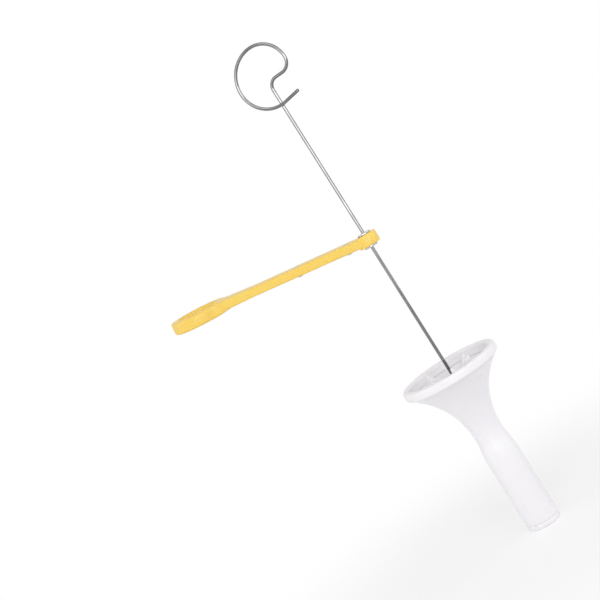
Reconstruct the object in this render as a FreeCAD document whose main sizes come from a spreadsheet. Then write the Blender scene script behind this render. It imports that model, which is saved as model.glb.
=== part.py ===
import FreeCAD, Part
import math
import os
import re
import Sketcher

# Tornado potato cutter: a flared plastic handle with a spiked insert, a looped wire
# skewer that stands in it, and a cutter arm with a finger ring that spins on the wire
# and slides along it. Millimetres, Z along the skewer, origin at the handle's end face.

os.makedirs("parts", exist_ok=True)
doc = FreeCAD.newDocument("tornado_potato_cutter")
sheet = doc.addObject("Spreadsheet::Sheet", "Sizes")

SIZES = {
    # handle
    "handle_height": 92,
    "rim_radius": 26,
    "lip_height": 5,
    "lip_overhang": 1.2,
    "lip_slope": 0.9,
    "lip_inner_radius": 22.2,
    "lip_round": 1.4,
    "flare_height": 33,
    "flare_wall": 3.3,
    "neck_radius": 7.6,
    "neck_wall": 2,
    "grip_radius": 8.8,
    "grip_length": 40,
    "grip_bore": 6.4,
    "bore_taper": 6,
    # end cap
    "cap_thickness": 3,
    "cap_plug_length": 7,
    "cap_plug_wall": 1.6,
    "cap_round": 1.2,
    # spiked insert
    "seat_depth": 17,
    "seat_thickness": 3,
    "spike_count": 6,
    "spike_thickness": 1.4,
    "spike_reach": 13.8,
    "spike_shoulder_drop": 5,
    "spike_point_rise": 0.6,
    "spike_point_radius": 12.2,
    "spike_root_radius": 3.8,
    "spike_root_drop": 9.5,
    "spike_sink": 1,
    "spike_web_rise": 1.5,
    "spike_wall_gap": 0.2,
    "socket_radius": 3,
    "socket_nose_radius": 2,
    "socket_length": 39,
    "socket_top_rise": 5,
    "rib_length": 16,
    "rib_slope": 3,
    # skewer
    "wire_radius": 0.8,
    "point_length": 5,
    "point_radius": 0.12,
    "tip_height": 32,
    "crossing_height": 243,
    "loop_reach": 14.4,
    "loop_rise": 31,
    "step_height": 12.7,
    "step_bend": 4.7,
    "turn_bend": 5.5,
    "tail_angle": 8.5,
    "tail_length": 8.7,
    "crossing_gap": 0.15,
    # cutter arm
    "arm_height": 165.6,
    "rise_angle": 6,
    "bar_width": 11,
    "bar_thickness": 4.6,
    "bar_bevel": 0.8,
    "bar_root_width": 15,
    "bar_root_thickness": 5.6,
    "bar_straight": 70,
    "bar_overlap": 3,
    "ring_distance": 106,
    "ring_radius": 16,
    "ring_hole_radius": 11,
    "ring_thickness": 6.6,
    "ring_round": 1.2,
    "hub_radius": 5.6,
    "hub_height": 6,
    # bush
    "bush_radius": 2.1,
    "flange_radius": 3.4,
    "flange_thickness": 0.8,
    # blade and rivets
    "blade_length": 42,
    "blade_width": 11,
    "blade_thickness": 0.7,
    "blade_bevel": 2.2,
    "blade_edge": 0.12,
    "blade_overhang": 4.2,
    "blade_hub_gap": 0.8,
    "blade_recess": 0.35,
    "rivet_radius": 1.2,
    "rivet_head_radius": 2.2,
    "rivet_head_height": 0.7,
    "rivet_inset": 6,
    "rivet_from_back": 2.4,
    # clearances
    "fit_gap": 0.05,
    "seat_gap": 0.1,
    "running_gap": 0.07,
    "socket_gap": 0.09,
}

for row, (alias, size) in enumerate(SIZES.items(), start=1):
    sheet.set(f"A{row}", alias)
    sheet.set(f"B{row}", str(size))
    sheet.setAlias(f"B{row}", alias)
doc.recompute()


def bound(text):
    """The expression text with each size's name pointing at its cell."""
    return re.sub(r"[a-z]+_[a-z_]+", lambda found: "Sizes." + found.group(0), text)


def value(text):
    """The number that an expression of sizes gives."""
    found = sheet.evalExpression(bound(text))
    return float(getattr(found, "Value", found))


def tangent_radius(across, along):
    """Radius of an arc that starts along one direction and ends this far across and along."""
    return f"(({across})^2 + ({along})^2) / (2 * ({across}))"


def new_body(name):
    body = doc.addObject("PartDesign::Body", name)
    body.Label = name
    return body


def origin_feature(body, role):
    for feature in body.Origin.OriginFeatures:
        if feature.Role == role:
            return feature
    raise RuntimeError("no origin feature " + role)


def outline(body, name, role, corners, lift=None):
    """Closed sketch through corners (x, y) or (x, y, radius), all expressions of sizes.

    A radius makes the way on to the next corner an arc, bending left where it is
    positive and right where it is negative.
    """
    sketch = body.newObject("Sketcher::SketchObject", name)
    sketch.AttachmentSupport = [(origin_feature(body, role), "")]
    sketch.MapMode = "FlatFace"
    if lift:
        sketch.setExpression("AttachmentOffset.Base.z", bound(lift))
    places = [FreeCAD.Vector(value(corner[0]), value(corner[1]), 0) for corner in corners]
    ends = []
    for index, corner in enumerate(corners):
        start = places[index]
        stop = places[(index + 1) % len(corners)]
        if len(corner) == 2:
            edge = sketch.addGeometry(Part.LineSegment(start, stop))
            ends.append((edge, 1, 2))
            continue
        radius = value(corner[2])
        chord = stop - start
        left = FreeCAD.Vector(-chord.y, chord.x, 0).normalize()
        inset = math.sqrt(radius ** 2 - (chord.Length / 2) ** 2)
        centre = (start + stop) / 2 + left * math.copysign(inset, radius)
        first, last = (start, stop) if radius > 0 else (stop, start)
        circle = Part.Circle(centre, FreeCAD.Vector(0, 0, 1), abs(radius))
        arc = Part.ArcOfCircle(circle, circle.parameter(first), circle.parameter(last))
        edge = sketch.addGeometry(arc)
        ends.append((edge, 1, 2) if radius > 0 else (edge, 2, 1))
        limit = sketch.addConstraint(Sketcher.Constraint("Radius", edge, abs(radius)))
        sign = "" if radius > 0 else "-"
        sketch.setExpression(f"Constraints[{limit}]", bound(f"{sign}({corner[2]})"))
    for index, (edge, first, last) in enumerate(ends):
        following, begin, _ = ends[(index + 1) % len(ends)]
        sketch.addConstraint(Sketcher.Constraint("Coincident", edge, last, following, begin))
        for kind, text in (("DistanceX", corners[index][0]), ("DistanceY", corners[index][1])):
            limit = sketch.addConstraint(Sketcher.Constraint(kind, edge, first, value(text)))
            sketch.setExpression(f"Constraints[{limit}]", bound(text))
    return sketch


def circle_sketch(body, name, radius, x="0", y="0", lift=None):
    """Level sketch of one circle."""
    sketch = body.newObject("Sketcher::SketchObject", name)
    sketch.AttachmentSupport = [(origin_feature(body, "XY_Plane"), "")]
    sketch.MapMode = "FlatFace"
    if lift:
        sketch.setExpression("AttachmentOffset.Base.z", bound(lift))
    centre = FreeCAD.Vector(value(x), value(y), 0)
    edge = sketch.addGeometry(Part.Circle(centre, FreeCAD.Vector(0, 0, 1), value(radius)))
    for kind, text in (("DistanceX", x), ("DistanceY", y)):
        limit = sketch.addConstraint(Sketcher.Constraint(kind, edge, 3, value(text)))
        sketch.setExpression(f"Constraints[{limit}]", bound(text))
    limit = sketch.addConstraint(Sketcher.Constraint("Radius", edge, value(radius)))
    sketch.setExpression(f"Constraints[{limit}]", bound(radius))
    return sketch


def revolve(body, sketch, name):
    feature = body.newObject("PartDesign::Revolution", name)
    feature.Profile = sketch
    feature.ReferenceAxis = (sketch, ["V_Axis"])
    feature.Angle = 360
    return feature


def pad(body, sketch, name, length, centred=False, backwards=False):
    feature = body.newObject("PartDesign::Pad", name)
    feature.Profile = sketch
    feature.setExpression("Length", bound(length))
    feature.Midplane = centred
    feature.Reversed = backwards
    return feature


def pocket(body, sketch, name, length, centred=True):
    """Cut that must take material away."""
    doc.recompute()
    before = body.Shape.Volume
    feature = body.newObject("PartDesign::Pocket", name)
    feature.Profile = sketch
    feature.setExpression("Length", bound(length))
    feature.Midplane = centred
    doc.recompute()
    if body.Shape.Volume >= before:
        raise RuntimeError(name + " cuts nothing")
    return feature


def polar(body, feature, name, count):
    pattern = body.newObject("PartDesign::PolarPattern", name)
    pattern.Originals = [feature]
    pattern.Axis = (origin_feature(body, "Z_Axis"), [""])
    pattern.Angle = 360
    pattern.setExpression("Occurrences", bound(count))
    body.Tip = pattern
    return pattern


# Handle horn: a hollow grip that narrows to a neck and flares out to a rounded lip
horn = new_body("handle_horn")
neck_height = "(handle_height - lip_height - flare_height)"
taper_middle = f"((grip_length + {neck_height}) / 2)"
taper_radius = tangent_radius("(grip_radius - neck_radius) / 2", f"({neck_height} - grip_length) / 2")
flare_foot = "(rim_radius - lip_overhang)"
flare_radius = tangent_radius(f"{flare_foot} - neck_radius", "flare_height")
flare_inner = f"({flare_foot} - flare_wall)"
neck_inner = "(neck_radius - neck_wall)"
inner_flare_radius = tangent_radius(f"{flare_inner} - {neck_inner}", "flare_height")
flare_top = "(handle_height - lip_height)"
horn_sketch = outline(horn, "horn_section", "XZ_Plane", [
    ("grip_radius", "cap_thickness"),
    ("grip_radius", "grip_length", taper_radius),
    ("(grip_radius + neck_radius) / 2", taper_middle, f"-({taper_radius})"),
    ("neck_radius", neck_height, f"-({flare_radius})"),
    (flare_foot, flare_top),
    ("rim_radius", f"{flare_top} + lip_slope"),
    ("rim_radius", "handle_height - lip_round", "lip_round"),
    ("rim_radius - lip_round", "handle_height"),
    ("lip_inner_radius + lip_round", "handle_height", "lip_round"),
    ("lip_inner_radius", "handle_height - lip_round"),
    (flare_inner, flare_top, inner_flare_radius),
    (neck_inner, neck_height),
    ("grip_bore", f"{neck_height} - bore_taper"),
    ("grip_bore", "cap_thickness"),
])
revolve(horn, horn_sketch, "horn")

# Grip end cap: a disc with a plug that closes the hollow grip
cap = new_body("grip_end_cap")
plug_radius = "(grip_bore - fit_gap)"
cap_sketch = outline(cap, "cap_section", "XZ_Plane", [
    ("0", "0"),
    ("grip_radius - cap_round", "0", "cap_round"),
    ("grip_radius", "cap_round"),
    ("grip_radius", "cap_thickness"),
    (plug_radius, "cap_thickness"),
    (plug_radius, "cap_thickness + cap_plug_length"),
    (f"{plug_radius} - cap_plug_wall", "cap_thickness + cap_plug_length"),
    (f"{plug_radius} - cap_plug_wall", "cap_thickness"),
    ("0", "cap_thickness"),
])
revolve(cap, cap_sketch, "cap")

# Spiked insert: a disc seated in the flare, a socket for the skewer, ribs and spikes
insert = new_body("spiked_insert")
seat_top = "(handle_height - seat_depth)"
seat_foot = f"({seat_top} - seat_thickness)"
flare_centre = f"({neck_inner} + {inner_flare_radius})"


def wall_radius(height):
    """Inner radius of the flare at a height."""
    rise = f"({height} - {neck_height})"
    return f"({flare_centre} - sqrt(({inner_flare_radius})^2 - ({rise})^2))"


seat_foot_radius = f"({wall_radius(seat_foot)} - seat_gap)"
seat_top_radius = f"({wall_radius(seat_top)} - seat_gap)"
socket_bore = "(wire_radius + socket_gap)"
insert_sketch = outline(insert, "insert_section", "XZ_Plane", [
    (socket_bore, f"{seat_foot} - socket_length"),
    ("socket_radius", f"{seat_foot} - socket_length"),
    ("socket_radius", seat_foot),
    (seat_foot_radius, seat_foot),
    (seat_top_radius, seat_top),
    ("socket_radius", seat_top),
    ("socket_nose_radius", f"{seat_top} + socket_top_rise"),
    (socket_bore, f"{seat_top} + socket_top_rise"),
])
revolve(insert, insert_sketch, "insert")
web_root = "(socket_radius - spike_sink)"
spike_sketch = outline(insert, "spike_outline", "XZ_Plane", [
    (web_root, f"{seat_top} - spike_sink"),
    (f"{seat_top_radius} - spike_sink", f"{seat_top} - spike_sink"),
    (f"{seat_top_radius} - spike_wall_gap", seat_top),
    ("spike_reach", f"{seat_top} + socket_top_rise"),
    ("spike_reach", "handle_height - spike_shoulder_drop"),
    ("spike_point_radius", "handle_height + spike_point_rise"),
    ("spike_root_radius", "handle_height - spike_root_drop"),
    (web_root, f"{seat_top} + spike_web_rise"),
])
spike = pad(insert, spike_sketch, "spike", "spike_thickness", centred=True)
polar(insert, spike, "spikes", "spike_count")
rib_foot = f"({neck_height} - rib_length)"
rib_sketch = outline(insert, "rib_outline", "XZ_Plane", [
    (web_root, rib_foot),
    (f"{neck_inner} - seat_gap", rib_foot),
    (f"{neck_inner} - seat_gap", neck_height),
    (web_root, f"{neck_height} + rib_slope"),
])
rib = pad(insert, rib_sketch, "rib", "spike_thickness", centred=True)
polar(insert, rib, "ribs", "spike_count")

# Skewer: a pointed wire whose top is bent into a loop that crosses in front of the shaft
skewer = doc.addObject("Part::Feature", "skewer")
skewer.Label = "skewer"


def skewer_shape():
    reach = value("loop_reach")
    crossing = value("crossing_height")
    wire = value("wire_radius")
    step_bend = value("step_bend")
    turn_bend = value("turn_bend")
    step = crossing + value("step_height")
    foot = value("tip_height + point_length")
    lean = math.asin((2 * wire + value("crossing_gap")) / reach)

    def upright(across, height):
        return FreeCAD.Vector(across, 0, height)

    def leaning(across, height):
        inward = reach - across
        return FreeCAD.Vector(reach - inward * math.cos(lean), -inward * math.sin(lean), height)

    def bend(place, across, height, radius, first, last):
        """Arc about (across, height) from one angle to another, in degrees from level."""
        spots = []
        for angle in (first, (first + last) / 2, last):
            turn = math.radians(angle)
            spots.append(place(across + radius * math.cos(turn), height + radius * math.sin(turn)))
        return Part.Arc(*spots).toShape()

    right_radius = crossing + value("loop_rise") - step - turn_bend
    top_across = reach - right_radius
    left_radius = top_across + reach
    low_radius = value("loop_rise") - left_radius
    low_across = low_radius - reach
    tail_turn = value("tail_angle")
    low_centre = crossing + low_radius
    path = [
        Part.LineSegment(upright(0, foot), upright(0, step - step_bend)).toShape(),
        bend(upright, step_bend, step - step_bend, step_bend, 180, 90),
        Part.LineSegment(upright(step_bend, step), upright(reach - turn_bend, step)).toShape(),
        bend(upright, reach - turn_bend, step + turn_bend, turn_bend, 270, 360),
        bend(leaning, top_across, step + turn_bend, right_radius, 0, 90),
        bend(leaning, top_across, low_centre, left_radius, 90, 180),
        bend(leaning, low_across, low_centre, low_radius, 180, 270 + tail_turn),
    ]
    tail_start = path[-1].Vertexes[-1].Point
    tilt = math.radians(tail_turn)
    along = value("tail_length")
    forward = FreeCAD.Vector(math.cos(tilt) * math.cos(lean), math.cos(tilt) * math.sin(lean), math.sin(tilt))
    path.append(Part.LineSegment(tail_start, tail_start + forward * along).toShape())
    section = Part.makeCircle(wire, upright(0, foot), FreeCAD.Vector(0, 0, 1))
    rod = Part.Wire(path).makePipeShell([Part.Wire(section)], True, False)
    length = sum(edge.Length for edge in path)
    if abs(rod.Volume / (math.pi * wire ** 2 * length) - 1) > 0.01:
        raise RuntimeError("the wire's volume doesn't match its length")
    tip = value("tip_height")
    point = Part.makeCone(value("point_radius"), wire, foot - tip, upright(0, tip))
    return rod.fuse(point).removeSplitter()


skewer.Shape = skewer_shape()
skewer.Placement = FreeCAD.Placement()

# Hub bush: a flanged sleeve that slides on the wire and carries the cutter's hub
bush = new_body("hub_bush")
hub_foot = "(arm_height - hub_height / 2)"
hub_top = "(arm_height + hub_height / 2)"
bush_foot = f"({hub_foot} - seat_gap - flange_thickness)"
bush_top = f"({hub_top} + seat_gap + flange_thickness)"
wire_bore = "(wire_radius + running_gap)"
bush_sketch = outline(bush, "bush_section", "XZ_Plane", [
    (wire_bore, bush_foot),
    ("flange_radius", bush_foot),
    ("flange_radius", f"{bush_foot} + flange_thickness"),
    ("bush_radius", f"{bush_foot} + flange_thickness"),
    ("bush_radius", bush_top),
    (wire_bore, bush_top),
])
revolve(bush, bush_sketch, "bush")

# Retaining ring: pressed on the bush's upper end, it keeps the hub on the bush
retainer = new_body("hub_retaining_ring")
retainer_foot = f"({hub_top} + seat_gap)"
retainer_sketch = outline(retainer, "retainer_section", "XZ_Plane", [
    ("bush_radius + fit_gap", retainer_foot),
    ("flange_radius", retainer_foot),
    ("flange_radius", bush_top),
    ("bush_radius + fit_gap", bush_top),
])
revolve(retainer, retainer_sketch, "retainer")

# Cutter arm: a bevelled bar with a finger ring, rising slightly outwards from its hub
bar = new_body("arm_bar")
ring_top = "(bar_root_thickness / 2)"
ring_sketch = circle_sketch(bar, "ring_outline", "ring_radius", x="-ring_distance",
                            lift=f"{ring_top} - ring_thickness")
pad(bar, ring_sketch, "ring_disc", "ring_thickness")
hole_sketch = circle_sketch(bar, "hole_outline", "ring_hole_radius", x="-ring_distance",
                            lift=ring_top)
hole = pocket(bar, hole_sketch, "ring_hole", "ring_thickness * 3")
rounds = bar.newObject("PartDesign::Fillet", "ring_rounds")
round_edges = [
    f"Edge{number}" for number, edge in enumerate(hole.Shape.Edges, start=1)
    if isinstance(edge.Curve, Part.Circle)
]
rounds.Base = (hole, round_edges)
rounds.setExpression("Radius", "Sizes.ring_round")


def bar_section(name, width, thickness, lift=None):
    """Bevelled section of the bar, square to its length."""
    half = f"({width}) / 2"
    tall = f"({thickness}) / 2"
    return outline(bar, name, "YZ_Plane", [
        (f"-({half})", f"-({tall} - bar_bevel)"),
        (f"-({half} - bar_bevel)", f"-({tall})"),
        (f"{half} - bar_bevel", f"-({tall})"),
        (half, f"-({tall} - bar_bevel)"),
        (half, f"{tall} - bar_bevel"),
        (f"{half} - bar_bevel", tall),
        (f"-({half} - bar_bevel)", tall),
        (f"-({half})", f"{tall} - bar_bevel"),
    ], lift=lift)


root_sketch = bar_section("root_section", "bar_root_width", "bar_root_thickness",
                          lift="-(ring_distance - ring_radius + bar_overlap)")
mid_sketch = bar_section("middle_section", "bar_width", "bar_thickness", lift="-bar_straight")
spread = bar.newObject("PartDesign::AdditiveLoft", "spread")
spread.Profile = root_sketch
spread.Sections = [mid_sketch]
spread.Ruled = True
hub_sketch = bar_section("hub_section", "bar_width", "bar_thickness")
pad(bar, hub_sketch, "straight", "bar_straight", backwards=True)

# Seat for the blade, stepped into the bar's underside along its leading edge
blade_near = "(hub_radius + blade_hub_gap)"
blade_front = "(bar_width / 2 + blade_overhang)"
blade_back = f"({blade_front} - blade_width)"
blade_top = "(blade_recess - bar_thickness / 2)"
blade_foot = f"({blade_top} - blade_thickness)"
seat_sketch = outline(bar, "blade_seat_section", "YZ_Plane", [
    (f"{blade_back} - fit_gap", "-bar_thickness"),
    ("bar_width", "-bar_thickness"),
    ("bar_width", blade_top),
    (f"{blade_back} - fit_gap", blade_top),
], lift=f"fit_gap - {blade_near}")
pocket(bar, seat_sketch, "blade_seat", "blade_length + 2 * fit_gap", centred=False)
rivet_y = f"({blade_back} + rivet_from_back)"
rivet_spots = {
    "inner": f"-({blade_near} + rivet_inset)",
    "outer": f"-({blade_near} + blade_length - rivet_inset)",
}
for side, rivet_x in rivet_spots.items():
    drill = circle_sketch(bar, f"{side}_rivet_outline", "rivet_radius + fit_gap", x=rivet_x, y=rivet_y)
    pocket(bar, drill, f"{side}_rivet_hole", "bar_thickness * 2")
    sink = circle_sketch(bar, f"{side}_head_outline", "rivet_head_radius + fit_gap",
                         x=rivet_x, y=rivet_y, lift="bar_thickness / 2")
    pocket(bar, sink, f"{side}_head_seat", "rivet_head_height * 2")


def on_arm(thing):
    """Places a piece that was drawn level at the arm's height and rise."""
    thing.Placement = FreeCAD.Placement(FreeCAD.Vector(0, 0, 0), FreeCAD.Rotation(FreeCAD.Vector(0, 1, 0), 1))
    thing.setExpression("Placement.Base.z", "Sizes.arm_height")
    thing.setExpression("Placement.Rotation.Angle", "Sizes.rise_angle")


on_arm(bar)
hub_boss = doc.addObject("Part::Cylinder", "hub_boss")
hub_boss.setExpression("Radius", "Sizes.hub_radius")
hub_boss.setExpression("Height", "Sizes.hub_height")
hub_boss.setExpression("Placement.Base.z", bound(hub_foot))
arm_blank = doc.addObject("Part::MultiFuse", "arm_blank")
arm_blank.Shapes = [bar, hub_boss]
hub_bore = doc.addObject("Part::Cylinder", "hub_bore")
hub_bore.setExpression("Radius", bound("bush_radius + running_gap"))
hub_bore.setExpression("Height", bound("hub_height * 3"))
hub_bore.setExpression("Placement.Base.z", bound("arm_height - hub_height * 1.5"))
cutter_arm = doc.addObject("Part::Cut", "cutter_arm")
cutter_arm.Label = "cutter_arm"
cutter_arm.Base = arm_blank
cutter_arm.Tool = hub_bore

# Blade: a steel strip with one bevelled edge, riveted in the seat under the bar
blade = new_body("cutter_blade")
blade_sketch = outline(blade, "blade_section", "YZ_Plane", [
    (blade_back, blade_foot),
    (blade_front, blade_foot),
    (blade_front, f"{blade_foot} + blade_edge"),
    (f"{blade_front} - blade_bevel", blade_top),
    (blade_back, blade_top),
], lift=f"-{blade_near}")
pad(blade, blade_sketch, "blade", "blade_length", backwards=True)
for side, rivet_x in rivet_spots.items():
    drill = circle_sketch(blade, f"{side}_blade_outline", "rivet_radius + fit_gap", x=rivet_x, y=rivet_y)
    pocket(blade, drill, f"{side}_blade_hole", "bar_thickness * 2")
on_arm(blade)


def rivet(side, rivet_x):
    """Rivet through the bar and the blade, round-headed below and sunk flush above."""
    body = new_body(f"{side}_rivet")
    head = tangent_radius("rivet_head_height", "rivet_head_radius")
    bar_top = "bar_thickness / 2"
    section = outline(body, f"{side}_rivet_section", "XZ_Plane", [
        ("0", f"{blade_foot} - rivet_head_height", head),
        ("rivet_head_radius", blade_foot),
        ("rivet_radius", blade_foot),
        ("rivet_radius", f"{bar_top} - rivet_head_height"),
        ("rivet_head_radius", f"{bar_top} - rivet_head_height"),
        ("rivet_head_radius", bar_top),
        ("0", bar_top),
    ])
    revolve(body, section, f"{side}_rivet_turn")
    body.setExpression("Placement.Base.x", bound(rivet_x))
    body.setExpression("Placement.Base.y", bound(rivet_y))
    return body


rivets = doc.addObject("Part::Compound", "blade_rivets")
rivets.Label = "blade_rivets"
rivets.Links = [rivet(side, rivet_x) for side, rivet_x in rivet_spots.items()]
on_arm(rivets)

doc.recompute()

NODES = [horn, cap, insert, skewer, bush, retainer, cutter_arm, blade, rivets]

for thing in doc.Objects:
    if "Invalid" in thing.State or "Error" in thing.State:
        raise RuntimeError(f"{thing.Name} failed: {thing.State}")
for node in NODES:
    shape = node.Shape
    if shape.isNull() or not shape.isValid():
        raise RuntimeError(node.Label + " has no valid shape")
    shape.exportStep(f"parts/{node.Label}.step")
    box = shape.BoundBox
    print(f"{node.Label}: {len(shape.Solids)} solid(s), {shape.Volume:.1f} mm3, "
          f"x {box.XMin:.1f}..{box.XMax:.1f}, y {box.YMin:.1f}..{box.YMax:.1f}, "
          f"z {box.ZMin:.1f}..{box.ZMax:.1f}")
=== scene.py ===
"""Looks of the hand cranked cutter, laid over its packed model in the same frame."""

from types import SimpleNamespace

import bmesh
import bpy
import numpy as np
from bpy.props import FloatProperty, FloatVectorProperty, IntProperty, PointerProperty
from mathutils import Matrix, Vector


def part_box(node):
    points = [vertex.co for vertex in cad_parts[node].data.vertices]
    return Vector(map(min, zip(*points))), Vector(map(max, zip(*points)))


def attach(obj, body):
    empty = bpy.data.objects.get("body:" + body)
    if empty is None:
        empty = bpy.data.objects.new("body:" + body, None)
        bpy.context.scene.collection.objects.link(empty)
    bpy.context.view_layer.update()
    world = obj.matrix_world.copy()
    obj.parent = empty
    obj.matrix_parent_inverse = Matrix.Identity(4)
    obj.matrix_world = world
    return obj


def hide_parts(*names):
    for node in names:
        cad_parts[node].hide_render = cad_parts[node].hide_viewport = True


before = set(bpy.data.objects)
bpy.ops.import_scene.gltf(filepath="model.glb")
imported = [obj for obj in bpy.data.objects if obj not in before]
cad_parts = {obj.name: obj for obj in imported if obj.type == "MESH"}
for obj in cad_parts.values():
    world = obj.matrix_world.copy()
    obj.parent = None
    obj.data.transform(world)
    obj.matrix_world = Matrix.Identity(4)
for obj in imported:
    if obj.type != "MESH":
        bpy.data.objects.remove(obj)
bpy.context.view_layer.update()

bl_info = {
    "name": "Tornado potato cutter",
    "version": (1, 0, 0),
    "blender": (4, 5, 0),
    "location": "View3D > Sidebar > Cutter",
    "description": "Shapes and finishes of a hand cranked spiral cutter",
    "category": "Object",
}

HORN_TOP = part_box("handle_horn")[1]
WIRE_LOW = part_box("skewer")[0]


# Sizes and colours

def measure(name, description, default, least=0.0):
    """A length in metres that a user can change."""
    return FloatProperty(name=name, description=description, default=default, min=least, unit="LENGTH")


def strength(name, description, default):
    """A power or strength that a user can change."""
    return FloatProperty(name=name, description=description, default=default, min=0.0)


def paint(name, description, default):
    """A colour that a user can change."""
    return FloatVectorProperty(
        name=name, description=description, default=default, size=3, min=0.0, max=1.0, subtype="COLOR")


class HandleSizes(bpy.types.PropertyGroup):
    """Sizes of the trumpet-shaped handle and the cap in its end"""

    height: measure("Height", "From the end cap to the top of the lip", HORN_TOP[2], 0.06)
    rim_radius: measure("Rim radius", "Outside radius of the lip", HORN_TOP[0], 0.01)
    lip_height: measure("Lip height", "Height of the lip over the end of the flare", 0.005)
    lip_overhang: measure("Lip overhang", "How far the lip stands out from the flare", 0.0012)
    lip_inner_radius: measure("Lip inner radius", "Inside radius of the lip", 0.0222)
    lip_round: measure("Lip rounding", "Radius of the lip's rounded top edges", 0.0014)
    flare_height: measure("Flare height", "From the neck up to the lip", 0.033)
    flare_wall: measure("Flare wall", "Wall thickness at the top of the flare", 0.0033)
    neck_radius: measure("Neck radius", "Outside radius where the flare begins", 0.0076)
    neck_wall: measure("Neck wall", "Wall thickness at the neck", 0.002)
    grip_radius: measure("Grip radius", "Outside radius of the grip", 0.0088)
    grip_length: measure("Grip length", "Length of the straight grip", 0.04)
    grip_bore: measure("Grip bore", "Radius of the hollow in the grip", 0.0064)
    cap_thickness: measure("Cap thickness", "Thickness of the end cap's disc", 0.003)
    cap_plug: measure("Cap plug", "Length of the plug inside the grip", 0.007)
    seam_height: measure("Seam height", "How far the mould's seam stands up", 0.00004)
    seam_width: measure("Seam width", "Width of the mould's seam", 0.00016, 0.00001)


class InsertSizes(bpy.types.PropertyGroup):
    """Sizes of the spiked insert that is pressed into the flare"""

    seat_depth: measure("Seat depth", "From the top of the lip down to the insert's disc", 0.017)
    seat_thickness: measure("Seat thickness", "Thickness of the insert's disc", 0.003)
    spike_count: IntProperty(
        name="Spikes", description="Number of spikes round the skewer", default=6, min=2)
    spike_thickness: measure("Spike thickness", "Thickness of a spike and of a rib", 0.0014, 0.0001)
    spike_reach: measure("Spike reach", "Radius of the spikes' outer edges", 0.0138)
    shoulder_drop: measure(
        "Shoulder drop", "From the top of the lip down to the spikes' shoulders", 0.005)
    point_radius: measure("Point radius", "Radius at which the spikes' points stand", 0.0122)
    point_rise: FloatProperty(
        name="Point rise", description="How far the spikes' points stand over the lip",
        default=0.0006, unit="LENGTH")
    socket_radius: measure("Socket radius", "Outside radius of the skewer's socket", 0.003)
    socket_length: measure("Socket length", "Length of the socket under the disc", 0.039)
    rib_length: measure("Rib length", "Length of the ribs that centre the socket in the neck", 0.016)


class WireSizes(bpy.types.PropertyGroup):
    """Sizes of the bent steel skewer"""

    radius: measure("Wire radius", "Radius of the wire", 0.0008, 0.0001)
    tip_height: measure("Tip height", "Height of the skewer's point in the handle", WIRE_LOW[2])
    point_length: measure("Point length", "Length of the ground point", 0.005)
    point_radius: measure("Point radius", "Radius left at the very point", 0.00012, 0.00001)
    crossing_height: measure("Crossing height", "Height of the lowest part of the loop", 0.243)
    loop_reach: measure("Loop reach", "Half the width of the loop", 0.0144, 0.001)
    loop_rise: measure("Loop rise", "Height of the loop", 0.031, 0.001)
    step_height: measure("Step height", "Height of the step over the loop's foot", 0.0127)
    step_bend: measure("Step bend", "Bend from the shaft into the step", 0.0047)
    turn_bend: measure("Turn bend", "Bend from the step into the loop", 0.0055)
    tail_angle: FloatProperty(
        name="Tail angle", description="Rise of the tail that crosses the shaft",
        default=np.radians(8.5), unit="ROTATION", subtype="ANGLE")
    tail_length: measure("Tail length", "Length of the straight tail", 0.0087)
    crossing_gap: measure("Crossing gap", "Gap between the tail and the shaft", 0.00015)


class ArmSizes(bpy.types.PropertyGroup):
    """Sizes of the arm, its finger ring, its hub and the bush in it"""

    height: measure("Arm height", "Height of the hub's middle", 0.1656)
    rise: FloatProperty(
        name="Rise", description="Rise of the arm towards its ring",
        default=np.radians(6), unit="ROTATION", subtype="ANGLE")
    bar_width: measure("Bar width", "Width of the bar", 0.011, 0.001)
    bar_thickness: measure("Bar thickness", "Thickness of the bar", 0.0046, 0.001)
    bar_edge: measure("Bar edge", "Radius of the bar's eased edges", 0.0008, 0.0001)
    bar_straight: measure(
        "Straight length", "Length of the bar before it spreads to the ring", 0.07, 0.001)
    root_width: measure("Root width", "Width of the bar at the ring", 0.015, 0.001)
    root_thickness: measure("Root thickness", "Thickness of the bar at the ring", 0.0056, 0.001)
    root_distance: measure("Root distance", "From the hub to the end of the spread", 0.093, 0.001)
    root_fillet: measure("Root fillet", "Fillet between the bar and the ring", 0.009, 0.001)
    ring_distance: measure("Ring distance", "From the hub to the ring's centre", 0.106, 0.001)
    ring_radius: measure("Ring radius", "Outside radius of the finger ring", 0.016, 0.001)
    ring_hole: measure("Finger hole radius", "Radius of the finger hole", 0.011, 0.001)
    ring_thickness: measure("Ring thickness", "Thickness of the ring", 0.0066, 0.001)
    ring_edge: measure("Ring edge", "Radius of the ring's rounded edges", 0.0012, 0.0001)
    hub_radius: measure("Hub radius", "Outside radius of the hub", 0.0056, 0.001)
    hub_height: measure("Hub height", "Height of the hub", 0.006, 0.001)
    bush_radius: measure("Bush radius", "Outside radius of the steel bush", 0.0021, 0.0001)
    flange_radius: measure(
        "Flange radius", "Radius of the bush's flange and of its ring", 0.0034, 0.0001)
    flange_thickness: measure(
        "Flange thickness", "Thickness of the flange and of the ring", 0.0008, 0.0001)


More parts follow.
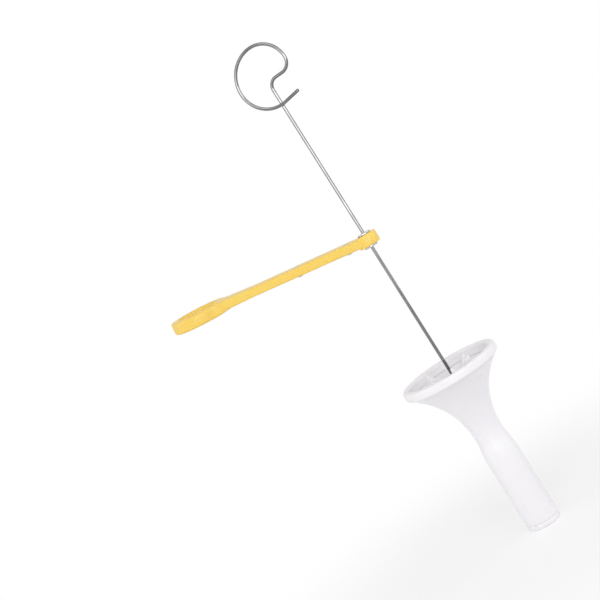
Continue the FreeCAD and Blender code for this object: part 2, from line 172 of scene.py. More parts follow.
class BladeSizes(bpy.types.PropertyGroup):
    """Sizes of the blade and its rivets"""

    length: measure("Blade length", "Length along the arm", 0.042, 0.001)
    width: measure("Blade width", "Width across the arm", 0.011, 0.001)
    thickness: measure("Blade thickness", "Thickness of the strip", 0.0007, 0.0001)
    ground: measure("Ground width", "Width of the ground bevel", 0.0022, 0.0001)
    edge: measure("Edge thickness", "Thickness left at the cutting edge", 0.00012, 0.00001)
    overhang: measure("Overhang", "How far the blade stands out of the bar", 0.0042)
    hub_gap: measure("Gap to the hub", "From the hub to the blade", 0.0008)
    recess: measure("Recess", "How deep the blade sits in the bar", 0.00035)
    rivet_radius: measure("Rivet radius", "Radius of a rivet's shank", 0.0012, 0.0001)
    head_radius: measure("Rivet head radius", "Radius of a rivet's head", 0.0022, 0.0001)
    head_height: measure("Rivet head height", "Height of a rivet's domed head", 0.0007, 0.0001)
    rivet_inset: measure("Rivet inset", "From the blade's end to a rivet", 0.006)
    rivet_from_back: measure("Rivet from back", "From the blade's back to a rivet", 0.0024)


class Finishes(bpy.types.PropertyGroup):
    """Colours and gloss of the cutter's materials"""

    handle_white: paint("Handle white", "Colour of the handle's plastic", (0.885, 0.868, 0.895))
    insert_white: paint("Insert white", "Colour of the spiked insert", (0.93, 0.92, 0.93))
    arm_yellow: paint("Arm yellow", "Colour of the arm's plastic", (0.88, 0.632, 0.13))
    wire_grey: paint("Wire grey", "Colour of the bright steel wire", (0.25, 0.243, 0.256))
    bush_grey: paint("Bush grey", "Colour of the bush, its ring and the rivets", (0.46, 0.455, 0.45))
    blade_grey: paint("Blade grey", "Colour of the ground blade", (0.52, 0.52, 0.53))
    plastic_roughness: FloatProperty(
        name="Plastic roughness", description="Roughness of the moulded plastic",
        default=0.32, min=0.05, max=1.0, subtype="FACTOR")
    wire_roughness: FloatProperty(
        name="Wire roughness", description="Roughness of the bright drawn wire",
        default=0.12, min=0.03, max=1.0, subtype="FACTOR")
    steel_roughness: FloatProperty(
        name="Steel roughness", description="Roughness of the steel",
        default=0.22, min=0.05, max=1.0, subtype="FACTOR")


class StageSizes(bpy.types.PropertyGroup):
    """Places of the camera and strengths of the light"""

    camera_place: FloatVectorProperty(
        name="Camera place", description="Where the camera stands",
        default=(0.25479, -0.55469, 0.19804), size=3, subtype="TRANSLATION", unit="LENGTH")
    camera_aim: FloatVectorProperty(
        name="Camera aim", description="Where the middle of the picture lies",
        default=(-0.03843, -0.02047, 0.15843), size=3, subtype="TRANSLATION", unit="LENGTH")
    camera_roll: FloatProperty(
        name="Camera roll", description="Turn of the camera about its line of sight",
        default=np.radians(32.44), unit="ROTATION", subtype="ANGLE")
    lens: FloatProperty(
        name="Lens", description="Focal length on a 36 mm picture", default=75.0, min=10.0)
    key_power: strength("Key light", "Power of the lamp in front in watts", 1.6)
    strip_power: strength("Strip light", "Power of the strip that only gloss shows, in watts", 5.4)
    upper_power: strength("Upper light", "Power of the lamp up in front in watts", 3.4)
    side_power: strength("Side lights", "Power of each of the two lamps at the sides in watts", 4.8)
    room_light: strength("Room light", "Strength of the even light from all round", 0.45)
    floor_size: measure("Floor size", "Half the width of the floor", 4.0, 1.0)


def in_millimetres(group):
    """A group's values by name, its lengths turned from metres into millimetres."""
    values = {}
    for prop in group.bl_rna.properties:
        if prop.identifier in ("rna_type", "name"):
            continue
        entry = getattr(group, prop.identifier)
        values[prop.identifier] = entry * 1000 if prop.unit == "LENGTH" else entry
    return SimpleNamespace(**values)


# Gaps and small fixed sizes in millimetres

FIT_GAP = 0.05
SEAT_GAP = 0.1
RUNNING_GAP = 0.07
SOCKET_BORE = 0.89
NOSE_RISE = 5
SPIKE_SINK = 1
PLATE_EDGE = 0.28


# Shapes, worked out in millimetres

def arc(across, up, radius, first, last, count):
    """Arc in a plane: centre plus radius times the cosine and sine of evenly spaced angles."""
    turn = np.radians(np.linspace(first, last, count))
    return np.column_stack([across + radius * np.cos(turn), up + radius * np.sin(turn)])


def eased(corners, steps=5):
    """Closed section whose corners (across, up, radius) are eased by arcs tangent to both sides.

    An arc is the blend of its two end spokes by the sines of the part angles.
    """
    spots = np.array([corner[:2] for corner in corners], float)
    share = np.linspace(0, 1, steps + 1)[:, None]
    runs = []
    for spot, prior, following, corner in zip(spots, np.roll(spots, 1, 0), np.roll(spots, -1, 0), corners):
        if corner[2] == 0:
            runs.append(spot[None])
            continue
        back = (prior - spot) / np.linalg.norm(prior - spot)
        ahead = (following - spot) / np.linalg.norm(following - spot)
        half = np.arccos(back @ ahead) / 2
        middle = (back + ahead) / np.linalg.norm(back + ahead)
        centre = spot + middle * corner[2] / np.sin(half)
        first = spot + back * corner[2] / np.tan(half) - centre
        last = spot + ahead * corner[2] / np.tan(half) - centre
        whole = np.pi - 2 * half
        blend = np.sin((1 - share) * whole) * first + np.sin(share * whole) * last
        runs.append(centre + blend / np.sin(whole))
    return np.vstack(runs + [runs[0][:1]])


def once_round(step):
    """Angles once around in degrees, a step apart."""
    return np.arange(0, 361, step)


def turned(section, angles):
    """Surface of revolution: (across, up) at angle a becomes (across cos a, across sin a, up)."""
    turn = np.radians(angles)
    across = section[:, :1]
    up = np.broadcast_to(section[:, 1:], (len(section), len(turn)))
    return np.dstack([across * np.cos(turn), across * np.sin(turn), up])


def slab(outline, thickness, edge, steps=4):
    """Flat plate over a closed outline (across, up), its edges eased by quarter rounds.

    Each row is the outline drawn in along its normals, from the middle of one face over
    the eased edge and the wall to the middle of the other. The third value is the height.
    """
    along = np.gradient(np.vstack([outline[-2:-1], outline, outline[1:2]]), axis=0)[1:-1]
    inward = np.column_stack([-along[:, 1], along[:, 0]]) / np.linalg.norm(along, axis=1)[:, None]
    turn = np.linspace(np.pi / 2, 0, steps + 1)
    drawn_in = edge * (1 - np.cos(turn))
    height = thickness / 2 - edge * (1 - np.sin(turn))
    rows = outline[None] + drawn_in[:, None, None] * inward[None]
    upper = np.dstack([rows, np.broadcast_to(height[:, None], rows.shape[:2])])
    lower = upper[::-1] * (1, 1, -1)
    middle = outline[:-1].mean(axis=0)
    pole = np.ones((1, len(outline), 3)) * (*middle, thickness / 2)
    return np.concatenate([pole, upper, lower, pole * (1, 1, -1)])


def tube(path, heading, radii):
    """Round bar along a path: path + radius (cos a first + sin a second), a once around.

    First is the Y axis squared off against the heading, second is square to both.
    """
    first = np.array([0.0, 1.0, 0.0]) - heading[:, 1:2] * heading
    first /= np.linalg.norm(first, axis=1)[:, None]
    second = np.cross(heading, first)
    turn = np.linspace(0, 2 * np.pi, 29)[None, :, None]
    around = np.cos(turn) * first[:, None] + np.sin(turn) * second[:, None]
    return path[:, None] + radii[:, None, None] * around


def length_along(path):
    """Length so far at each point of a path."""
    return np.concatenate([[0], np.cumsum(np.linalg.norm(np.diff(path, axis=0), axis=1))])


def mirrored(grid):
    """A grid and its mirror image across the arm's middle, joined at the shared column."""
    return np.concatenate([grid, grid[:, -2::-1] * (1, -1, 1)], axis=1)


def soft_step(values):
    """Smooth rise from 0 to 1: three squares less two cubes of the value, held to 0 and 1."""
    held = np.clip(values, 0, 1)
    return held ** 2 * (3 - 2 * held)


def on_arm(points, arm):
    """Turns points drawn level about the Y axis by the arm's rise and lifts them to its hub."""
    lean_x = points[..., 0] * np.cos(arm.rise) + points[..., 2] * np.sin(arm.rise)
    lean_z = points[..., 2] * np.cos(arm.rise) - points[..., 0] * np.sin(arm.rise) + arm.height
    return np.stack([lean_x, points[..., 1], lean_z], axis=-1)


def piece(name, grids, body, node, material, marks=None):
    """Makes one closed mesh of grids of points, in metres, and lays it over a node of the model.

    Each grid's neighbours form quads. Edges that meet are merged, which closes the surface.
    """
    counts = [grid.shape[0] * grid.shape[1] for grid in grids]
    starts = np.cumsum([0] + counts[:-1])
    quads = []
    for grid, start in zip(grids, starts):
        index = start + np.arange(grid.shape[0] * grid.shape[1]).reshape(grid.shape[:2])
        corners = [index[:-1, :-1], index[:-1, 1:], index[1:, 1:], index[1:, :-1]]
        quads.append(np.stack(corners, axis=-1).reshape(-1, 4))
    quads = np.vstack(quads)
    points = np.vstack([grid.reshape(-1, 3) for grid in grids]) / 1000
    mesh = bpy.data.meshes.new(name)
    mesh.vertices.add(len(points))
    mesh.vertices.foreach_set("co", points.ravel())
    mesh.loops.add(quads.size)
    mesh.loops.foreach_set("vertex_index", quads.ravel().astype(np.int32))
    mesh.polygons.add(len(quads))
    mesh.polygons.foreach_set("loop_start", np.arange(0, quads.size, 4, dtype=np.int32))
    mesh.update(calc_edges=True)
    if marks is not None:
        layer = mesh.uv_layers.new(name="along_wire")
        layer.data.foreach_set("uv", marks.reshape(-1, 2)[quads.ravel()].ravel())
    work = bmesh.new()
    work.from_mesh(mesh)
    bmesh.ops.remove_doubles(work, verts=work.verts, dist=0.000002)
    bmesh.ops.recalc_face_normals(work, faces=work.faces)
    if any(not edge.is_manifold for edge in work.edges):
        raise RuntimeError(name + " isn't closed")
    if work.calc_volume(signed=True) < 0:
        bmesh.ops.reverse_faces(work, faces=work.faces)
    work.to_mesh(mesh)
    work.free()
    mesh.shade_smooth()
    mesh.set_sharp_from_angle(angle=np.radians(38))
    mesh.materials.append(material)
    thing = bpy.data.objects.new(name, mesh)
    bpy.context.scene.collection.objects.link(thing)
    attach(thing, body)
    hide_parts(node)
    return thing


# Finishes

def fill(tree, made, inputs):
    """Links a node's named or numbered inputs to outputs, or sets them to plain values."""
    for key, entry in inputs.items():
        if isinstance(entry, bpy.types.NodeSocket):
            tree.links.new(entry, made.inputs[key])
        else:
            made.inputs[key].default_value = entry


def add(tree, kind, inputs=None, **settings):
    """Adds a node, gives it its settings and fills its inputs."""
    made = tree.nodes.new(kind)
    for key, entry in settings.items():
        setattr(made, key, entry)
    fill(tree, made, inputs or {})
    return made


def combined(tree, operation, first, second):
    """Sum, product or larger one of two values."""
    return add(tree, "ShaderNodeMath", {0: first, 1: second}, operation=operation).outputs[0]


def fresh(name):
    """A new material, its node tree, its shader and the object's own coordinates."""
    material = bpy.data.materials.new(name)
    material.use_nodes = True
    tree = material.node_tree
    place = add(tree, "ShaderNodeTexCoord").outputs["Object"]
    return material, tree, tree.nodes["Principled BSDF"], place


def grain(tree, place, scale, detail=2.0, stretch=None):
    """Noise of a scale, given in patches per metre, its coordinates stretched where asked."""
    if stretch:
        place = add(tree, "ShaderNodeMapping", {"Vector": place, "Scale": stretch}).outputs[0]
    inputs = {"Vector": place, "Scale": scale, "Detail": detail}
    return add(tree, "ShaderNodeTexNoise", inputs).outputs["Fac"]


def between(tree, value, low, high, start=0.3, stop=0.7):
    """Brings a value that runs from start to stop into the span from low to high."""
    inputs = {"Value": value, "From Min": start, "From Max": stop, "To Min": low, "To Max": high}
    return add(tree, "ShaderNodeMapRange", inputs).outputs[0]


def tinted(tree, amount, first, second):
    """Mix of two colours by an amount."""
    inputs = {0: amount, 6: (*first, 1), 7: (*second, 1)}
    return add(tree, "ShaderNodeMix", inputs, data_type="RGBA").outputs[2]


def moulded_plastic(name, colour, shade, roughness, shine, glow, glow_share):
    """Injection-moulded plastic: soft colour drift, orange peel, worn gloss and fine scratches.

    Pieces of one plastic share one material, so a name that is there already is handed back.
    """
    if name in bpy.data.materials:
        return bpy.data.materials[name]
    material, tree, shader, place = fresh(name)
    drift = between(tree, grain(tree, place, 38, 3.0), 0.0, 1.0)
    mottled = tinted(tree, drift, colour, shade)
    worn = grain(tree, place, 210, 5.0)
    scratch = grain(tree, place, 900, 2.0, stretch=(1.0, 1.0, 0.08))
    lines = between(tree, scratch, 0.0, 1.0, 0.64, 0.86)
    dull = between(tree, worn, roughness - 0.05, roughness + 0.07)
    rough = add(tree, "ShaderNodeMath", {0: lines, 1: 0.12, 2: dull}, operation="MULTIPLY_ADD")
    peel = grain(tree, place, 420, 1.0)
    low = add(tree, "ShaderNodeBump", {"Height": peel, "Strength": 0.05, "Distance": 0.0002})
    inputs = {"Height": lines, "Strength": 0.02, "Distance": 0.00005, "Normal": low.outputs[0]}
    fine = add(tree, "ShaderNodeBump", inputs, invert=True)
    fill(tree, shader, {
        "Base Color": mottled,
        "Roughness": rough.outputs[0],
        "Normal": fine.outputs[0],
        "IOR": 1.49,
        "Specular IOR Level": shine,
        "Subsurface Weight": glow_share,
        "Subsurface Radius": glow,
        "Subsurface Scale": 0.001,
    })
    return material


def drawn_wire(name, colour, roughness):
    """Bright drawn wire: streaks along the wire from its UV map, small specks, faint bands."""
    material, tree, shader, place = fresh(name)
    marks = add(tree, "ShaderNodeUVMap", uv_map="along_wire").outputs[0]
    streak = grain(tree, marks, 1.0, 3.0, stretch=(7.0, 50.0, 1.0))
    specks = grain(tree, place, 1400, 3.0)
    bands = grain(tree, marks, 1.0, 1.0, stretch=(0.4, 160.0, 1.0))
    darker = tuple(0.72 * part for part in colour)
    mixed = combined(tree, "MULTIPLY", streak, bands)
    amount = between(tree, mixed, 0.0, 1.0, 0.12, 0.42)
    bump = add(tree, "ShaderNodeBump", {"Height": streak, "Strength": 0.02, "Distance": 0.00001})
    fill(tree, shader, {
        "Base Color": tinted(tree, amount, darker, colour),
        "Roughness": between(tree, specks, roughness - 0.02, roughness + 0.03),
        "Normal": bump.outputs[0],
        "Metallic": 1.0,
        "Specular Tint": (0.25, 0.25, 0.27, 1),
    })
    return material


def worked_steel(name, colour, roughness, stretch, scale):
    """Turned or ground steel: fine marks along one direction, stains and small nicks."""
    material, tree, shader, place = fresh(name)
    marks = grain(tree, place, scale, 4.0, stretch=stretch)
    stain = grain(tree, place, 160, 4.0)
    darker = tuple(0.7 * part for part in colour)
    mixed = combined(tree, "ADD", marks, stain)
    amount = between(tree, mixed, 0.0, 1.0, 0.75, 1.2)
    bump = add(tree, "ShaderNodeBump", {"Height": marks, "Strength": 0.2, "Distance": 0.00004})
    fill(tree, shader, {
        "Base Color": tinted(tree, amount, darker, colour),
        "Roughness": between(tree, mixed, roughness + 0.12, roughness - 0.04, 0.75, 1.25),
        "Normal": bump.outputs[0],
        "Metallic": 1.0,
    })
    return material


def white_plastic(finish):
    """The handle's cool white plastic."""
    cooler = tuple(0.965 * part for part in finish.handle_white)
    return moulded_plastic(
        "handle_plastic", finish.handle_white, cooler, finish.plastic_roughness,
        shine=0.5, glow=(1.0, 0.85, 0.9), glow_share=0.25)


def insert_plastic(finish):
    """The spiked insert's white plastic, paler, warmer and duller than the handle's."""
    warmer = tuple(0.97 * part for part in finish.insert_white)
    return moulded_plastic(
        "insert_plastic", finish.insert_white, warmer, finish.plastic_roughness + 0.04,
        shine=0.5, glow=(1.0, 0.85, 0.85), glow_share=0.08)


def yellow_plastic(finish):
    """The arm's warm yellow plastic, with a faint orange glow from under its skin."""
    red, green, blue = finish.arm_yellow
    return moulded_plastic(
        "arm_plastic", (red, green, blue), (red, green * 0.93, blue * 0.8),
        finish.plastic_roughness, shine=0.3, glow=(1.0, 0.5, 0.12), glow_share=0.02)


# Handle

def flare_arcs(cup):
    """Radius and centre of the flare's outer and inner arcs, both tangent to the neck.

    The radius of an arc that runs this far out and up is (out squared + up squared) / 2 out.
    """
    foot = cup.rim_radius - cup.lip_overhang
    out = foot - cup.neck_radius
    outer = (out ** 2 + cup.flare_height ** 2) / (2 * out)
    hollow = cup.neck_radius - cup.neck_wall
    out = foot - cup.flare_wall - hollow
    inner = (out ** 2 + cup.flare_height ** 2) / (2 * out)
    return outer, cup.neck_radius + outer, inner, hollow + inner


def wall_radius(cup, height):
    """Inner radius of the flare at a height: centre less the root of radius² less rise²."""
    _, _, radius, centre = flare_arcs(cup)
    rise = height - (cup.height - cup.lip_height - cup.flare_height)
    return centre - np.sqrt(radius ** 2 - rise ** 2)


def horn_section(cup):
    """Section of the horn: grip, double arc to the neck, flare, rounded lip, flare inside, bore."""
    flare_top = cup.height - cup.lip_height
    neck = flare_top - cup.flare_height
    outer, outer_centre, inner, inner_centre = flare_arcs(cup)
    across = (cup.grip_radius - cup.neck_radius) / 2
    along = (neck - cup.grip_length) / 2
    bend = (across ** 2 + along ** 2) / (2 * across)
    sweep = np.degrees(np.arcsin(along / bend))
    rise = np.degrees(np.arcsin(cup.flare_height / outer))
    inside = np.degrees(np.arcsin(cup.flare_height / inner))
    lip_slope = 0.9
    lip_draft = 0.15
    lip_depth = 2.6
    lip = eased([
        (cup.rim_radius - cup.lip_overhang, flare_top, 0.25),
        (cup.rim_radius, flare_top + lip_slope, 0.55),
        (cup.rim_radius, cup.height, cup.lip_round),
        (cup.lip_inner_radius, cup.height, cup.lip_round),
        (cup.lip_inner_radius - lip_draft, cup.height - lip_depth, 0.5),
        (cup.rim_radius - cup.lip_overhang - cup.flare_wall, flare_top, 0.4),
    ], steps=7)[:-1]
    grip = np.linspace(cup.cap_thickness + 0.5, cup.grip_length, 12)[:-1]
    foot_round = 0.35
    foot_height = cup.cap_thickness + 0.02
    foot_edge = arc(cup.grip_radius - foot_round, foot_height + foot_round, foot_round, -90, 0, 5)
    bore_top = neck - 6
    return np.vstack([
        foot_edge,
        np.column_stack([np.full_like(grip, cup.grip_radius), grip]),
        arc(cup.grip_radius - bend, cup.grip_length, bend, 0, sweep, 10),
        arc(cup.neck_radius + bend, neck, bend, 180 + sweep, 180, 10)[1:],
        arc(outer_centre, neck, outer, 180, 180 - rise, 40)[1:-1],
        lip,
        arc(inner_centre, neck, inner, 180 - inside, 180, 30)[1:],
        [(cup.grip_bore, bore_top)],
        [(cup.grip_bore, foot_height)],
        foot_edge[:1],
    ])


def horn_grid(cup):
    """The horn's section turned about its axis, with two mould seams.

    A seam lifts the skin by its height times e to the minus (arc distance / width) squared.
    """
    near = np.array([0, 0.15, 0.35, 0.6, 0.9, 1.3, 1.8])
    near = np.concatenate([-near, near])
    angles = np.unique(np.concatenate([once_round(2.0), 90 + near, 270 + near]))
    grid = turned(horn_section(cup), angles)
    reach = np.hypot(grid[..., 0], grid[..., 1])
    apart = np.radians(np.abs(np.abs(angles - 180) - 90))
    ridge = cup.seam_height * np.exp(-(reach * apart / cup.seam_width) ** 2)
    outside = reach > cup.neck_radius - 0.3
    outside[0] = False
    outside[np.argmax(grid[:, 0, 2]):] = False
    grid[..., :2] *= (1 + np.where(outside, ridge, 0) / reach)[..., None]
    return grid


class CUTTER_OT_horn_body(bpy.types.Operator):
    """Makes the white trumpet-shaped handle with its rounded lip"""

    bl_idname = "cutter.horn_body"
    bl_label = "Handle horn"

    def execute(self, context):
        cup = in_millimetres(context.scene.cutter_handle)
        finish = white_plastic(context.scene.cutter_finish)
        piece("horn_body", [horn_grid(cup)], "handle", "handle_horn", finish)
        return {"FINISHED"}


class CUTTER_OT_grip_cap(bpy.types.Operator):
    """Makes the cap that closes the hollow grip, with a shallow dish underneath"""

    bl_idname = "cutter.grip_cap"
    bl_label = "Grip end cap"

    def execute(self, context):
        cup = in_millimetres(context.scene.cutter_handle)
        plug = cup.grip_bore - FIT_GAP
        hollow = plug - 1.6
        dish = 0.35
        section = eased([
            (0, dish, 0),
            (cup.grip_radius - 3.2, dish, 0.3),
            (cup.grip_radius - 2.6, 0, 0.5),
            (cup.grip_radius, 0, 1.2),
            (cup.grip_radius, cup.cap_thickness, 0.35),
            (plug, cup.cap_thickness, 0),
            (plug, cup.cap_thickness + cup.cap_plug, 0.3),
            (hollow, cup.cap_thickness + cup.cap_plug, 0.3),
            (hollow, cup.cap_thickness, 0.5),
            (0, cup.cap_thickness, 0),
        ])[:-1]
        finish = white_plastic(context.scene.cutter_finish)
        grid = turned(section, once_round(3.0))
        piece("grip_cap", [grid], "handle", "grip_end_cap", finish)
        return {"FINISHED"}


# Spiked insert

def insert_section(cup, insert):
    """Section of the insert: the socket's tube, the disc that fits the flare, and the nose."""
    top = cup.height - insert.seat_depth
    foot = top - insert.seat_thickness
    return eased([
        (SOCKET_BORE, foot - insert.socket_length, 0.15),
        (insert.socket_radius, foot - insert.socket_length, 0.4),
        (insert.socket_radius, foot, 1.0),
        (wall_radius(cup, foot) - SEAT_GAP, foot, 0.25),
        (wall_radius(cup, top) - SEAT_GAP, top, 0.25),
        (insert.socket_radius, top, 0.8),
        (insert.socket_radius - 1, top + NOSE_RISE, 0.5),
        (SOCKET_BORE, top + NOSE_RISE, 0.2),
    ])


def spike_outline(cup, insert):
    """Outline of one spike, radius against height: web on the disc, back, point and root."""
    top = cup.height - insert.seat_depth
    seat = wall_radius(cup, top) - SEAT_GAP
    root = insert.socket_radius - SPIKE_SINK
    return eased([
        (root, top - SPIKE_SINK, 0.35),
        (seat - SPIKE_SINK, top - SPIKE_SINK, 0.35),
        (seat - 0.2, top, 0.5),
        (insert.spike_reach, top + NOSE_RISE, 1.5),
        (insert.spike_reach, cup.height - insert.shoulder_drop, 1.5),
        (insert.point_radius, cup.height + insert.point_rise, 0.4),
        (root + 1.8, cup.height - 9.5, 1.5),
        (root, top + 1.5, 0.6),
    ])


def rib_outline(cup, insert):
    """Outline of one rib under the disc, radius against height."""
    neck = cup.height - cup.lip_height - cup.flare_height
    root = insert.socket_radius - SPIKE_SINK
    reach = cup.neck_radius - cup.neck_wall - SEAT_GAP
    foot = neck - insert.rib_length
    return eased([(root, foot, 0.35), (reach, foot, 0.5), (reach, neck, 0.5), (root, neck + 3, 0.35)])


def about_axis(grid, angle):
    """Stands a plate drawn as (radius, height, thickness) up at an angle about the axis."""
    out, up, side = np.moveaxis(grid, -1, 0)
    turn = np.radians(angle)
    return np.stack([
        out * np.cos(turn) - side * np.sin(turn), out * np.sin(turn) + side * np.cos(turn), up], -1)


class CUTTER_OT_insert_core(bpy.types.Operator):
    """Makes the insert's disc with the socket for the skewer"""

    bl_idname = "cutter.insert_core"
    bl_label = "Insert core"

    def execute(self, context):
        cup = in_millimetres(context.scene.cutter_handle)
        insert = in_millimetres(context.scene.cutter_insert)
        grid = turned(insert_section(cup, insert), once_round(4.0))
        white = insert_plastic(context.scene.cutter_finish)
        piece("insert_core", [grid], "handle", "spiked_insert", white)
        return {"FINISHED"}


class CUTTER_OT_insert_spikes(bpy.types.Operator):
    """Makes the insert's spikes and the ribs under them"""

    bl_idname = "cutter.insert_spikes"
    bl_label = "Insert spikes"

    def execute(self, context):
        cup = in_millimetres(context.scene.cutter_handle)
        insert = in_millimetres(context.scene.cutter_insert)
        spike = slab(spike_outline(cup, insert), insert.spike_thickness, PLATE_EDGE)
        rib = slab(rib_outline(cup, insert), insert.spike_thickness, PLATE_EDGE)
        turns = np.arange(insert.spike_count) * 360 / insert.spike_count
        grids = [about_axis(grid, turn) for turn in turns for grid in (spike, rib)]
        white = insert_plastic(context.scene.cutter_finish)
        piece("insert_spikes", grids, "handle", "spiked_insert", white)
        return {"FINISHED"}


# Skewer

def skewer_path(wire):
    """Middle line of the wire, its heading and its length so far.

    A straight shaft, a bend into a level step, a bend up, then arcs of three radii that
    make the loop, and a straight tail. From the last bend on the loop leans forward about
    an upright line at its reach, so that the tail passes in front of the shaft.
    """
    step = wire.crossing_height + wire.step_height
    lean = np.arcsin((2 * wire.radius + wire.crossing_gap) / wire.loop_reach)
    right = wire.crossing_height + wire.loop_rise - step - wire.turn_bend
    top = wire.loop_reach - right
    left = top + wire.loop_reach
    low = wire.loop_rise - left
    tail = np.degrees(wire.tail_angle)
    turn_height = step + wire.turn_bend
    low_height = wire.crossing_height + low
    cone = wire.tip_height + wire.point_length
    heights = np.concatenate([
        np.linspace(wire.tip_height, cone, 6), np.linspace(cone, step - wire.step_bend, 90)[1:]])
    straight = np.column_stack([np.zeros_like(heights), heights])
    flat = np.vstack([
        straight,
        arc(wire.step_bend, step - wire.step_bend, wire.step_bend, 180, 90, 16)[1:],
        np.column_stack([np.linspace(wire.step_bend, wire.loop_reach - wire.turn_bend, 6),
                         np.full(6, step)])[1:],
        arc(wire.loop_reach - wire.turn_bend, turn_height, wire.turn_bend, -90, 0, 18)[1:],
    ])
    loop = np.vstack([
        arc(top, turn_height, right, 0, 90, 40),
        arc(top, low_height, left, 90, 180, 44)[1:],
        arc(low - wire.loop_reach, low_height, low, 180, 270 + tail, 44)[1:],
    ])
    run = np.linspace(0, wire.tail_length, 10)[1:, None]
    loop = np.vstack([loop, loop[-1] + run * (np.cos(wire.tail_angle), np.sin(wire.tail_angle))])
    inward = wire.loop_reach - loop[1:, 0]
    leaning = np.column_stack([
        wire.loop_reach - inward * np.cos(lean), -inward * np.sin(lean), loop[1:, 1]])
    upright = np.column_stack([flat[:, 0], np.zeros(len(flat)), flat[:, 1]])
    path = np.vstack([upright, leaning])
    length = length_along(path)
    heading = np.gradient(path, length, axis=0)
    return path, heading / np.linalg.norm(heading, axis=1)[:, None], length


class CUTTER_OT_skewer_wire(bpy.types.Operator):
    """Makes the bright steel wire with its ground point and its loop"""

    bl_idname = "cutter.skewer_wire"
    bl_label = "Skewer"

    def execute(self, context):
        wire = in_millimetres(context.scene.cutter_wire)
        path, heading, length = skewer_path(wire)
        radii = np.interp(length, [0, wire.point_length], [wire.point_radius, wire.radius])
        burr = 0.14
        turn = np.linspace(0, np.pi / 2, 5)
        ends = path[-1] + heading[-1] * (burr * np.sin(turn) - burr)[:, None]
        path = np.vstack([path[:1], path[:-1], ends, ends[-1:]])
        heading = np.vstack([heading[:1], heading[:-1], np.repeat(heading[-1:], 6, axis=0)])
        trimmed = wire.radius - burr * (1 - np.cos(turn))
        radii = np.concatenate([[0], radii[:-1], trimmed, [0]])
        grid = tube(path, heading, radii)
        length = np.concatenate([[0], length[:-1], np.full(6, length[-1])]) / 1000
        around = np.linspace(0, 1, grid.shape[1])
        marks = np.dstack(np.broadcast_arrays(around[None], length[:, None]))
        finish = context.scene.cutter_finish
        bright = drawn_wire("bright_wire", finish.wire_grey, finish.wire_roughness)
        piece("skewer_wire", [grid], "skewer", "skewer", bright, marks)
        return {"FINISHED"}


# Arm, hub and bush

def arm_plan(arm):
    """Half of the arm's outline from the hub to the ring's tip, and the spine matched to it.

    The outline is the bar's straight side, its spread, a fillet and the ring's arc. The
    spine is an arc round the hub's bore, the middle line, and the finger hole's edge.
    """
    half = arm.bar_width / 2
    slope = (arm.root_width / 2 - half) / (arm.root_distance - arm.bar_straight)
    square = np.hypot(1, slope)
    lift = arm.root_fillet * square + half - slope * arm.bar_straight
    reach = arm.ring_radius + arm.root_fillet
    first = 1 + slope ** 2
    second = 2 * (arm.ring_distance - slope * lift)
    third = arm.ring_distance ** 2 + lift ** 2 - reach ** 2
    centre_x = (np.sqrt(second ** 2 - 4 * first * third) - second) / (2 * first)
    centre_y = lift - slope * centre_x
    side = np.degrees(np.arctan2(-1, -slope))
    inward = np.degrees(np.arctan2(-centre_y, -arm.ring_distance - centre_x)) - 360
    start = np.degrees(np.arctan2(centre_y, arm.ring_distance + centre_x))
    touch = centre_x - arm.root_fillet * slope / square
    xs = np.concatenate([
        np.linspace(0, -arm.bar_straight, 57), np.linspace(-arm.bar_straight, touch, 20)[1:]])
    ys = half + slope * np.clip(-xs - arm.bar_straight, 0, None)
    inward = inward + 360 if inward < -270 else inward
    fillet = arc(centre_x, centre_y, arm.root_fillet, side, inward, 16)[1:]
    ring = arc(-arm.ring_distance, 0, arm.ring_radius, start, 180, 64)[1:]
    outline = np.vstack([np.column_stack([xs, ys]), fillet, ring])
    length = length_along(outline)
    bar_end = length[len(xs) - 1]
    ring_start = length[len(xs) + len(fillet) - 1]
    notch_margin = 1.4
    notch = arm.bush_radius + notch_margin
    flat = arm.ring_hole + arm.ring_edge
    hub_end = length[6]
    hub_turn = np.interp(length, [0, hub_end], [90, 180])
    middle = np.interp(length, [hub_end, bar_end], [-notch, flat - arm.ring_distance])
    ring_turn = np.interp(length, [bar_end, ring_start, length[-1]], [0, start * 0.8, 180])
    by_hub = notch * np.column_stack([np.cos(np.radians(hub_turn)), np.sin(np.radians(hub_turn))])
    by_ring = flat * np.column_stack([np.cos(np.radians(ring_turn)), np.sin(np.radians(ring_turn))])
    by_ring[:, 0] -= arm.ring_distance
    spine = np.where((length < hub_end)[:, None], by_hub, np.column_stack([middle, np.zeros_like(middle)]))
    spine = np.where((length > bar_end)[:, None], by_ring, spine)
    spine[-1, 1] = 0
    outline[-1, 1] = 0
    return outline, spine, length <= hub_end, length >= bar_end


def arm_faces(arm, x, y):
    """Heights of the arm's top and underside at a place of its plan.

    Half the thickness grows evenly along the spread, and the underside sinks by a soft
    step of the distance from the ring's centre to the ring's full thickness.
    """
    half = np.interp(-x, [arm.bar_straight, arm.root_distance],
                     [arm.bar_thickness / 2, arm.root_thickness / 2])
    away = np.hypot(x + arm.ring_distance, y)
    fade = 6
    sunk = soft_step((arm.ring_radius + fade - away) / fade)
    return half, -half - sunk * (arm.ring_thickness - arm.root_thickness)


